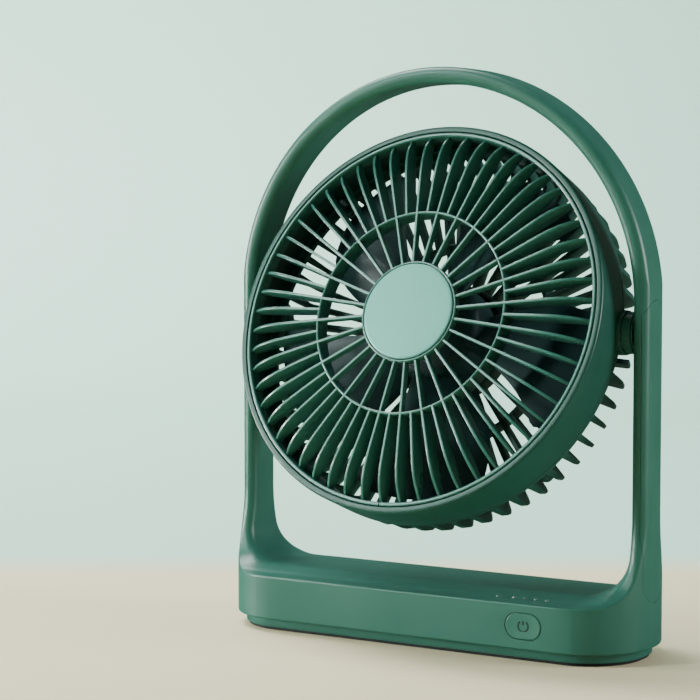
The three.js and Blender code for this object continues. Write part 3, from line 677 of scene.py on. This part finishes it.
def power_button():
    """A pill with a broken edge and a shallow dish."""
    profile = [(0, 3.0), (0, 0.32), (0.08, 0.14), (0.22, 0.03), (0.45, 0)]
    profile += [(0.9, 0.02), (1.6, 0.1), (2.6, 0.19), (3.6, 0.26), (4.6, 0.3), (5.6, 0.32)]
    rings = []
    for inset, fall in profile:
        rings += along_y(pill(inset, 14), [-HALF_DEPTH + fall])
    piece("button_cap", *stack(rings), materials["button"], "power_button", "button_green", ["power_button"])


def power_sign():
    """The generic power sign: an open ring and a bar, as thin inlays in the button's dish."""
    front = -HALF_DEPTH + 0.24
    back = front + 0.4
    radius, width, gap = 2.4, 0.78, math.radians(36)
    inner, outer = radius - width / 2, radius + width / 2
    steps = 36
    ring = []
    for i in range(steps + 1):
        a = math.pi / 2 + gap + (2 * math.pi - 2 * gap) * i / steps
        c, s = math.cos(a), math.sin(a)
        corners = [(inner, back), (inner, front), (outer, front), (outer, back)]
        ring.append([(BUTTON.x + r * c, y, BUTTON.z + r * s) for r, y in corners])
    bar_low, bar_high = 0.5, 3.1
    bar = [(-width / 2, bar_low), (width / 2, bar_low), (width / 2, bar_high), (-width / 2, bar_high)]
    bar = [(BUTTON.x + x, BUTTON.z + z) for x, z in bar]
    parts = [stack(ring), stack(along_y(bar, (front, back)))]
    piece("power_sign", *joined(parts), materials["icon"], "power_button", "button_green")


def foot_plate():
    """The plate that closes the base from below, set in from the shell."""
    low = in_mm("bottom_plate")[0].z
    heights = [(1.2, low), (0.5, low), (0.12, low + 0.12), (0, low + 0.45), (0, SHELL_BOTTOM + 0.8)]
    rings = slab(HALF_WIDTH - FOOT_INSET, HALF_DEPTH - FOOT_INSET, END_RADIUS - FOOT_INSET, heights)
    piece("foot_plate", *stack(rings), materials["frame"], "stand", "body_green", ["bottom_plate"])


def anti_slip_pad():
    """The rubber pad under the foot plate, with softly rounded edges."""
    low, high = in_mm("anti_slip_pad")
    heights = [(0.4, low.z), (0.1, low.z + 0.1), (0, low.z + 0.3), (0, high.z + 0.25)]
    rings = slab(high.x, high.y, END_RADIUS - PAD_INSET, heights)
    piece("foot_pad", *stack(rings), materials["pad"], "stand", "pad_rubber", ["anti_slip_pad"])


# ---- The head ----
head_place = Matrix.Translation(FAN_CENTRE) @ Matrix.Rotation(math.pi / 2 - TILT, 4, "X")


def drum_wall():
    """The head's round wall, with its rolled lip and the ledge that the grille sits on."""
    profile = rounded(
        [
            (DRUM, DRUM_BACK, 0.3), (DRUM, DRUM_FRONT, 1.1), (RIM_OUTER + 0.4, DRUM_FRONT, 0.45),
            (RIM_OUTER + 0.4, LEDGE, 0), (LEDGE_INNER, LEDGE, 0.2), (LEDGE_INNER, LEDGE - 1.6, 0.4),
            (DRUM_INNER, LEDGE - 3.6, 0.8), (DRUM_INNER, DRUM_BACK, 0.3),
        ],
        0.3, 6,
    )
    return lathe(profile, 224)


def drum_collar(side):
    """The collar that the pivot's boss comes out of."""
    ring = rounded([(COLLAR_BORE, 0, 0), (COLLAR, 0, 0), (COLLAR, 1, 0.5), (COLLAR_BORE, 1, 0.3)], 0.3, 5)
    length = COLLAR_END - COLLAR_START
    points, faces = lathe([(r, COLLAR_START + share * length) for r, share in ring], 96)
    return [(side * z, x + PIVOT_ABOVE, y) for x, y, z in points], faces


def drum():
    """The wall and its two collars in one moulding."""
    parts = joined([drum_wall(), drum_collar(-1), drum_collar(1)])
    piece("head_drum", *parts, materials["drum"], "head", "body_green", ["drum_housing"], head_place)


def spoke(stations, angle):
    """A grille blade, with rounded front edges, through stations: radius, front, back, and widths at both."""
    c, s = math.cos(angle), math.sin(angle)
    rings = []
    for radius, front, back, width, tail in stations:
        half, half_tail = width / 2, tail / 2
        corner = SPOKE_ROUNDING * half
        arc = [
            (half - corner + corner * math.sin(a), front - corner + corner * math.cos(a))
            for a in np.linspace(0, math.pi / 2, 4)
        ]
        section = [(-half_tail, back + 0.1)]
        section += [(-t, z) for t, z in reversed(arc)]
        section += arc
        section += [(half_tail, back + 0.1), (0, back)]
        rings.append([(radius * c - t * s, radius * s + t * c, z) for t, z in section])
    return stack(rings)


def grille_front(radius):
    """The height of the grille's front surface: nearly level in the middle, turned down to the rim."""
    share = float(np.clip((radius - GRILLE_LEVEL) / (RIM_INNER - GRILLE_LEVEL), 0, 1))
    return GRILLE_FRONT - GRILLE_DISH * (radius / RIM_INNER) - GRILLE_DROP * share**5


def grille_rim():
    """The outer ring, split by a fine gap at its lowest point."""
    corners = [(RIM_INNER, LEDGE), (RIM_OUTER, LEDGE)]
    corners += [(RIM_OUTER, RIM_FRONT, 0.5), (RIM_INNER, RIM_FRONT, 0.8)]
    section = rounded(corners, 0.2, 5)
    turns = np.linspace(-math.pi / 2 + RIM_GAP / 2, 1.5 * math.pi - RIM_GAP / 2, 225)
    return stack([[(r * math.cos(a), r * math.sin(a), z) for r, z in section] for a in turns])


def grille_ring():
    """The thin ring half-way out that ties the blades together."""
    front = grille_front(MIDDLE_RING)
    half_back, half_front = 0.55, 0.65
    section = rounded(
        [
            (MIDDLE_RING - half_back, MIDDLE_BACK), (MIDDLE_RING + half_back, MIDDLE_BACK),
            (MIDDLE_RING + half_front, front, 0.6), (MIDDLE_RING - half_front, front, 0.6),
        ],
        0.15, 5,
    )
    return lathe(section, 160)


def grille_hub():
    """The disc in the middle, with the seat that the badge lies in."""
    edge, seat = GRILLE_FRONT + 0.3, GRILLE_FRONT - 0.9
    section = rounded(
        [
            (0, HUB_BACK, 0), (HUB, HUB_BACK, 0.3), (HUB, edge, 0.7), (BADGE_SEAT, edge, 0.35),
            (BADGE_SEAT, seat, 0.1), (0, seat, 0),
        ],
        0.15, 5,
    )
    return lathe(section, 128, closed=False)


def front_grille():
    """Rim, middle ring, hub and blades; every second blade runs only from the middle ring out."""
    outer = []
    for radius in np.concatenate([np.linspace(MIDDLE_RING, 76, 8), np.linspace(78, RIM_INNER + 0.4, 9)]):
        share = (radius - MIDDLE_RING) / (RIM_INNER - MIDDLE_RING)
        outer.append((radius, grille_front(radius), OUTER_BACK - OUTER_FALL * share, SPOKE_WIDTH, OUTER_TAIL))
    inner = []
    for radius in np.linspace(HUB - 0.6, MIDDLE_RING + 0.2, 6):
        inner.append((radius, grille_front(radius), INNER_BACK, SPOKE_WIDTH, INNER_TAIL))
    parts = [grille_rim(), grille_ring(), grille_hub()]
    pitch = 2 * math.pi / SPOKES
    for i in range(SPOKES):
        angle = math.pi / 2 + (i + 0.5) * pitch
        parts.append(spoke(inner, angle))
        parts.append(spoke(outer, angle))
        parts.append(spoke(outer, angle + pitch / 2))
    guard = joined(parts)
    piece("front_guard", *guard, materials["grille"], "head", "grille_green", ["front_grille"], head_place)


def badge():
    """The plain disc over the grille's hub, slightly domed."""
    back, top = GRILLE_FRONT - 0.85, GRILLE_FRONT + 0.9
    profile = [(0, back), (BADGE - 0.1, back), (BADGE, back + 0.15), (BADGE, top - 0.75)]
    profile += [(BADGE - 0.08, top - 0.5), (BADGE - 0.3, top - 0.36), (BADGE - 0.7, top - 0.28)]
    dome, dome_radius = 0.24, 21
    profile += [(r, top - dome * (r / dome_radius) ** 2) for r in (20.5, 17, 13, 9, 5, 2, 0)]
    disc = lathe(profile, 128, closed=False)
    piece("badge_disc", *disc, materials["badge"], "head", "badge_green", ["front_badge"], head_place)


def inset_outline(outline, amount):
    """A closed outline moved inwards along its own normals."""
    points = np.array(outline, float)
    before, after = np.roll(points, 1, axis=0), np.roll(points, -1, axis=0)
    tangent = after - before
    tangent /= np.linalg.norm(tangent, axis=1, keepdims=True)
    normal = np.column_stack([tangent[:, 1], -tangent[:, 0]])
    area = 0.5 * np.sum(points[:, 0] * np.roll(points[:, 1], -1) - np.roll(points[:, 0], -1) * points[:, 1])
    return points - normal * amount * np.sign(area)


def blade(outline, width, angle, edge, taper=0.0):
    """A flat rib whose outline, (radius, z) points, stands on the head's axis, with softly broken edges.

    It thins towards the back by the taper, in millimetres of width to the millimetre.
    """
    c, s = math.cos(angle), math.sin(angle)
    rings = []
    for side, inset, level in [(-1, 1, 0), (-1, 0.3, 0.3), (-1, 0, 1), (1, 0, 1), (1, 0.3, 0.3), (1, 1, 0)]:
        ring = []
        for r, z in inset_outline(outline, inset * edge):
            t = side * ((width + taper * (z - FIN_BACK)) / 2 - level * edge)
            ring.append((r * c - t * s, r * s + t * c, z))
        rings.append(ring)
    return stack(rings)


def rear_rings():
    """The ring behind the drum, and the middle ring that ties the fins together."""
    outer = [
        (REAR_INNER, REAR_BACK), (REAR_OUTER, REAR_BACK, 0.6),
        (REAR_OUTER, REAR_FRONT, 0.3), (REAR_INNER, REAR_FRONT),
    ]
    low, high = REAR_MIDDLE - REAR_MIDDLE_HALF, REAR_MIDDLE + REAR_MIDDLE_HALF
    middle = [(low, FIN_INSIDE), (high, FIN_INSIDE), (high, FIN_BACK, 0.5), (low, FIN_BACK, 0.5)]
    return [lathe(rounded(outer, 0.2, 5), 224), lathe(rounded(middle, 0.3, 5), 160)]


def motor_plate():
    """The plate that carries the motor, a shallow cup, with fine rings on its back."""
    floor = FIN_BACK + PLATE_FLOOR
    cup = rounded(
        [
            (0, FIN_BACK, 0), (PLATE, FIN_BACK, 1.2), (PLATE, PLATE_FRONT, 0.4),
            (PLATE_INNER, PLATE_FRONT, 0.3), (PLATE_INNER, floor, 0.2), (0, floor, 0),
        ],
        0.3, 6,
    )
    parts = [lathe(cup, 128, closed=False)]
    sunk = FIN_BACK + 0.3
    for low, high in BEADS:
        bead = rounded([(low, sunk), (high, sunk), (high, FIN_BACK, 0.2), (low, FIN_BACK, 0.2)], 0.1, 3)
        parts.append(lathe(bead, 96))
    return parts


def rear_fins():
    """Fins that curve from the rim over the back; every second one runs on to the motor's plate as a rib.

    Beside a pivot a fin has no part along the drum's side.
    """
    fin = rounded(
        [
            (90.0, 3.0, 0), (89.6, -10.5, 9.0), (86.9, FIN_BACK, 3.6), (REAR_MIDDLE, FIN_BACK, 0),
            (REAR_MIDDLE, FIN_INSIDE, 0), (82.9, FIN_INSIDE, 2.0), (85.8, 3.0, 0),
        ],
        0, 7,
    )
    side_front, side_inner = -10.7, 84
    short_fin = [(r, z) for r, z in fin if z < side_front or r < side_inner]
    rib_start, rib_back, rib_front = PLATE - 1, FIN_BACK + 0.1, FIN_INSIDE - 0.1
    rib = [(rib_start, rib_back), (REAR_MIDDLE, rib_back), (REAR_MIDDLE, rib_front), (rib_start, rib_front)]
    pitch = 2 * math.pi / FINS
    parts = []
    for i in range(FINS):
        angle = (i + FIN_PHASE) * pitch
        beside_pivot = abs(math.sin(angle) * DRUM - PIVOT_ABOVE) < PIVOT_ROOM
        parts.append(blade(short_fin if beside_pivot else fin, FIN_TIP, angle, 0.4, FIN_TAPER))
        if i % 2 == 0:
            parts.append(blade(rib, RIB_WIDTH, angle, 0.35))
    return parts


def screw_bosses():
    """Hollow posts for the screws that hold the rear cover."""
    boss = [(SCREW_BORE, SCREW_BACK), (SCREW_POST, SCREW_BACK, 0.5)]
    boss += [(SCREW_POST, SCREW_FRONT, 0), (SCREW_BORE, SCREW_FRONT)]
    points, faces = lathe(rounded(boss, 0.2, 4), 40)
    parts = []
    for degrees in SCREW_ANGLES:
        a = math.radians(degrees)
        across, up = SCREW_RING * math.cos(a), SCREW_RING * math.sin(a)
        parts.append(([(x + across, y + up, z) for x, y, z in points], faces))
    return parts


def rear_guard():
    """The rear cover: a ring behind the drum, fins over the back, a middle ring and the motor's plate."""
    parts = rear_rings() + motor_plate() + rear_fins() + screw_bosses()
    piece("rear_guard", *joined(parts), materials["rear"], "head", "body_green", ["rear_grille"], head_place)


def pivot_boss(side, end):
    """The round boss between the drum and the post, with a fine step where it meets the collar."""
    profile = rounded(
        [
            (BOSS_BORE, BOSS_START), (BOSS_INNER, BOSS_START), (BOSS_INNER, BOSS_STEP, 0),
            (BOSS_OUTER, BOSS_STEP + 0.1, 0.2), (BOSS_OUTER, BOSS_END, 0.6), (SHAFT, BOSS_END, 0.2),
            (SHAFT, SHAFT_END, 0.4), (BOSS_BORE, SHAFT_END, 0.2),
        ],
        0.1, 5,
    )
    points, faces = lathe(profile, 96)
    points = [(side * z, x, y) for x, y, z in points]
    stands_for = [f"pivot_shaft_{end}"]
    place = Matrix.Translation(PIVOT)
    piece(f"pivot_boss_{end}", points, faces, materials["pivot"], "head", "pivot_green", stands_for, place)


# ---- The impeller ----
def impeller_blade(angle):
    """One swept and twisted blade with round edges, thick at its root and thin at its tip."""
    along, across = 22, 16
    round_start, round_by = 0.86, 0.34
    rows = []
    for i in range(along + 1):
        s = i / along
        radius = BLADE_ROOT + (BLADE_TIP - BLADE_ROOT) * s
        round_off = 1 - round_by * max(0.0, (s - round_start) / (1 - round_start)) ** 2
        span = math.radians(BLADE_SPAN - 4 * s) * round_off
        rise = BLADE_RISE - 5 * s
        thickness = (BLADE_THICKNESS - BLADE_THINNING * s) / 2
        front, back = [], []
        for j in range(across + 1):
            c = -0.5 * math.cos(math.pi * j / across)
            a = angle + math.radians(BLADE_SWEEP) * s * s + c * span
            z = BLADE_CENTRE - c * rise * round_off + (0.25 - c * c) * BLADE_CAMBER
            body = thickness * math.sqrt(max(0.0, 1 - (2 * c) ** 6)) + 0.02
            front.append((radius * math.cos(a), radius * math.sin(a), z + body))
            back.append((radius * math.cos(a), radius * math.sin(a), z - body))
        rows.append(front + back[::-1])
    return stack(rows)


def impeller():
    """Hub cap and blades in one moulding."""
    ceiling = IMPELLER_FRONT - 4
    hub = rounded(
        [
            (IMPELLER_BORE, ceiling), (IMPELLER_CAN, ceiling, 0.5), (IMPELLER_CAN, IMPELLER_BACK, 0.3),
            (IMPELLER_HUB, IMPELLER_BACK, 1.2), (IMPELLER_HUB, IMPELLER_FRONT - 0.8, 4.5),
            (IMPELLER_HUB / 2, IMPELLER_FRONT, 6), (IMPELLER_BORE, IMPELLER_FRONT, 0.2),
        ],
        0.3, 8,
    )
    parts = [lathe(hub, 96)]
    for i in range(BLADES):
        parts.append(impeller_blade(math.radians(BLADE_PHASE + 360 / BLADES * i)))
    material = materials["impeller"]
    piece("impeller_moulding", *joined(parts), material, "rotor", "impeller_green", ["impeller"], head_place)


# ---- Everything that keeps its CAD shape gets its finish ----
FINISH = {
    "steel": [
        "base_screw", "rear_screw", "motor_screw", "motor_base", "bearing_rear", "bearing_front",
        "pivot_clip", "usb_c_socket", "motor_shaft", "rotor_can", "impeller_nut",
    ],
    "brass": ["bearing_tube"],
    "copper": ["stator_core"],
    "board": ["battery_board", "main_board", "button_board", "motor_board"],
    "black": ["button_switch"],
    "pivot": ["friction_washer"],
    "cell": ["battery_cell"],
    "magnet": ["magnet_ring"],
    "sleeve": ["post_lead", "motor_lead"],
    "light": ["light_guide"],
}
CAD_SHARP_ANGLE = math.radians(40)


def finish_of(name):
    """The material for a CAD node, found by the start of its name."""
    for kind, starts in FINISH.items():
        if name.startswith(tuple(starts)):
            return materials[kind]
    return materials["frame"]


def finish_cad_nodes():
    """Gives each CAD node its material and shades its round faces smoothly."""
    for name, node in frame["nodes"].items():
        node.data.materials.clear()
        node.data.materials.append(finish_of(name))
        node.data.shade_smooth()
        node.data.set_sharp_from_angle(angle=CAD_SHARP_ANGLE)


finish_cad_nodes()
carrying_frame()
side_cover(-1, "left")
side_cover(1, "right")
indicator_lights()
power_button()
power_sign()
foot_plate()
anti_slip_pad()
drum()
front_grille()
badge()
rear_guard()
pivot_boss(-1, "left")
pivot_boss(1, "right")
impeller()


# ---- Stage, light and camera, in metres ----
STAGE_NEAR = (0.98, 0.79, 0.53)
STAGE_FAR = (0.64, 0.91, 0.79)
STAGE_HALF, STAGE_FRONT, STAGE_BACK, STAGE_HEIGHT, STAGE_BEND = 7.0, -7.0, 1.6, 4.0, 0.5
VIEW_AZIMUTH = math.radians(31.55)
VIEW_PITCH = math.radians(-3.725)
CAMERA_PLACE = (0.4686, -0.8438, 0.1945)
FOCAL_LENGTH = 109.06


def stage_material():
    """Matt, warm near the fan and cooler behind it, with a soft change between the two."""
    material, shader = node_material("stage_matt", STAGE_NEAR, 0.6)
    nodes, links = material.node_tree.nodes, material.node_tree.links
    place = nodes.new("ShaderNodeTexCoord")
    split = nodes.new("ShaderNodeSeparateXYZ")
    links.new(place.outputs["Object"], split.inputs["Vector"])
    colour = add_ramp(material, split.outputs["Y"], (*STAGE_NEAR, 1), (*STAGE_FAR, 1), 0.17, 0.23)
    links.new(colour, shader.inputs["Base Color"])
    return material


def stage():
    """A pale floor that bends up into a pale backdrop.

    Glossy rays don't see it, so the plastic doesn't mirror it.
    """
    level_end = STAGE_BACK - STAGE_BEND
    profile = [(STAGE_FRONT, 0.0), (level_end, 0.0)]
    for a in np.linspace(0, math.pi / 2, 16)[1:]:
        profile.append((level_end + STAGE_BEND * math.sin(a), STAGE_BEND - STAGE_BEND * math.cos(a)))
    profile.append((STAGE_BACK, STAGE_HEIGHT))
    points = [(x, y, z) for y, z in profile for x in (-STAGE_HALF, STAGE_HALF)]
    faces = [(2 * i, 2 * i + 1, 2 * i + 3, 2 * i + 2) for i in range(len(profile) - 1)]
    mesh = bpy.data.meshes.new("stage_floor")
    mesh.from_pydata(points, [], faces)
    mesh.materials.append(stage_material())
    mesh.shade_smooth()
    made = put("stage_floor", mesh)
    made.rotation_euler.z = VIEW_AZIMUTH
    made.visible_glossy = False


def area_light(name, position, target, size, power, colour, spread=180):
    """A soft rectangular light that looks at a target; a small spread, in degrees, keeps it to a beam."""
    data = bpy.data.lights.new(name, "AREA")
    data.shape = "RECTANGLE"
    data.size, data.size_y = size
    data.energy = power
    data.color = colour
    data.spread = math.radians(spread)
    made = put(name, data)
    made.location = position
    made.rotation_euler = (Vector(target) - Vector(position)).to_track_quat("-Z", "Y").to_euler()


def surroundings():
    """Dim, pale light from all round."""
    world = bpy.data.worlds.new("surround")
    world.use_nodes = True
    background = world.node_tree.nodes["Background"]
    background.inputs["Color"].default_value = (0.78, 1, 0.9, 1)
    background.inputs["Strength"].default_value = 0.1
    bpy.context.scene.world = world


def lights():
    """Two low lights at the front left, a strip for the sheen, and others above, at the right and behind."""
    middle = (0, 0, 0.13)
    area_light("key", (-1.55, -0.85, 0.28), (0, 0, 0.05), (0.6, 0.45), 23, (1, 0.99, 0.96))
    area_light("low", (-1.5, -0.9, 0.3), (-0.02, 0, 0.02), (0.3, 0.2), 0.45, (1, 0.99, 0.96), 26)
    area_light("sheen", (-0.84, -1.12, 0.98), middle, (0.16, 0.9), 13, (0.76, 1, 0.94))
    area_light("above", (-0.6, -0.12, 1.25), middle, (0.5, 0.3), 0.7, (0.97, 1, 1))
    area_light("side", (1.3, 0.32, 0.5), (0.1, 0, 0.2), (0.5, 0.6), 15, (0.94, 1, 1))
    area_light("backdrop", (-1.1, 0.3, 1.6), (-0.7, 1.4, 0.3), (1.4, 0.9), 54, (0.93, 1, 0.97))
    surroundings()


def camera():
    """The view from the front right, slightly above."""
    data = bpy.data.cameras.new("view")
    data.lens = FOCAL_LENGTH
    data.sensor_width = 36
    data.clip_start = 0.01
    made = put("view", data)
    made.location = CAMERA_PLACE
    made.rotation_euler = (math.pi / 2 + VIEW_PITCH, 0, VIEW_AZIMUTH)
    bpy.context.scene.camera = made


stage()
lights()
camera()
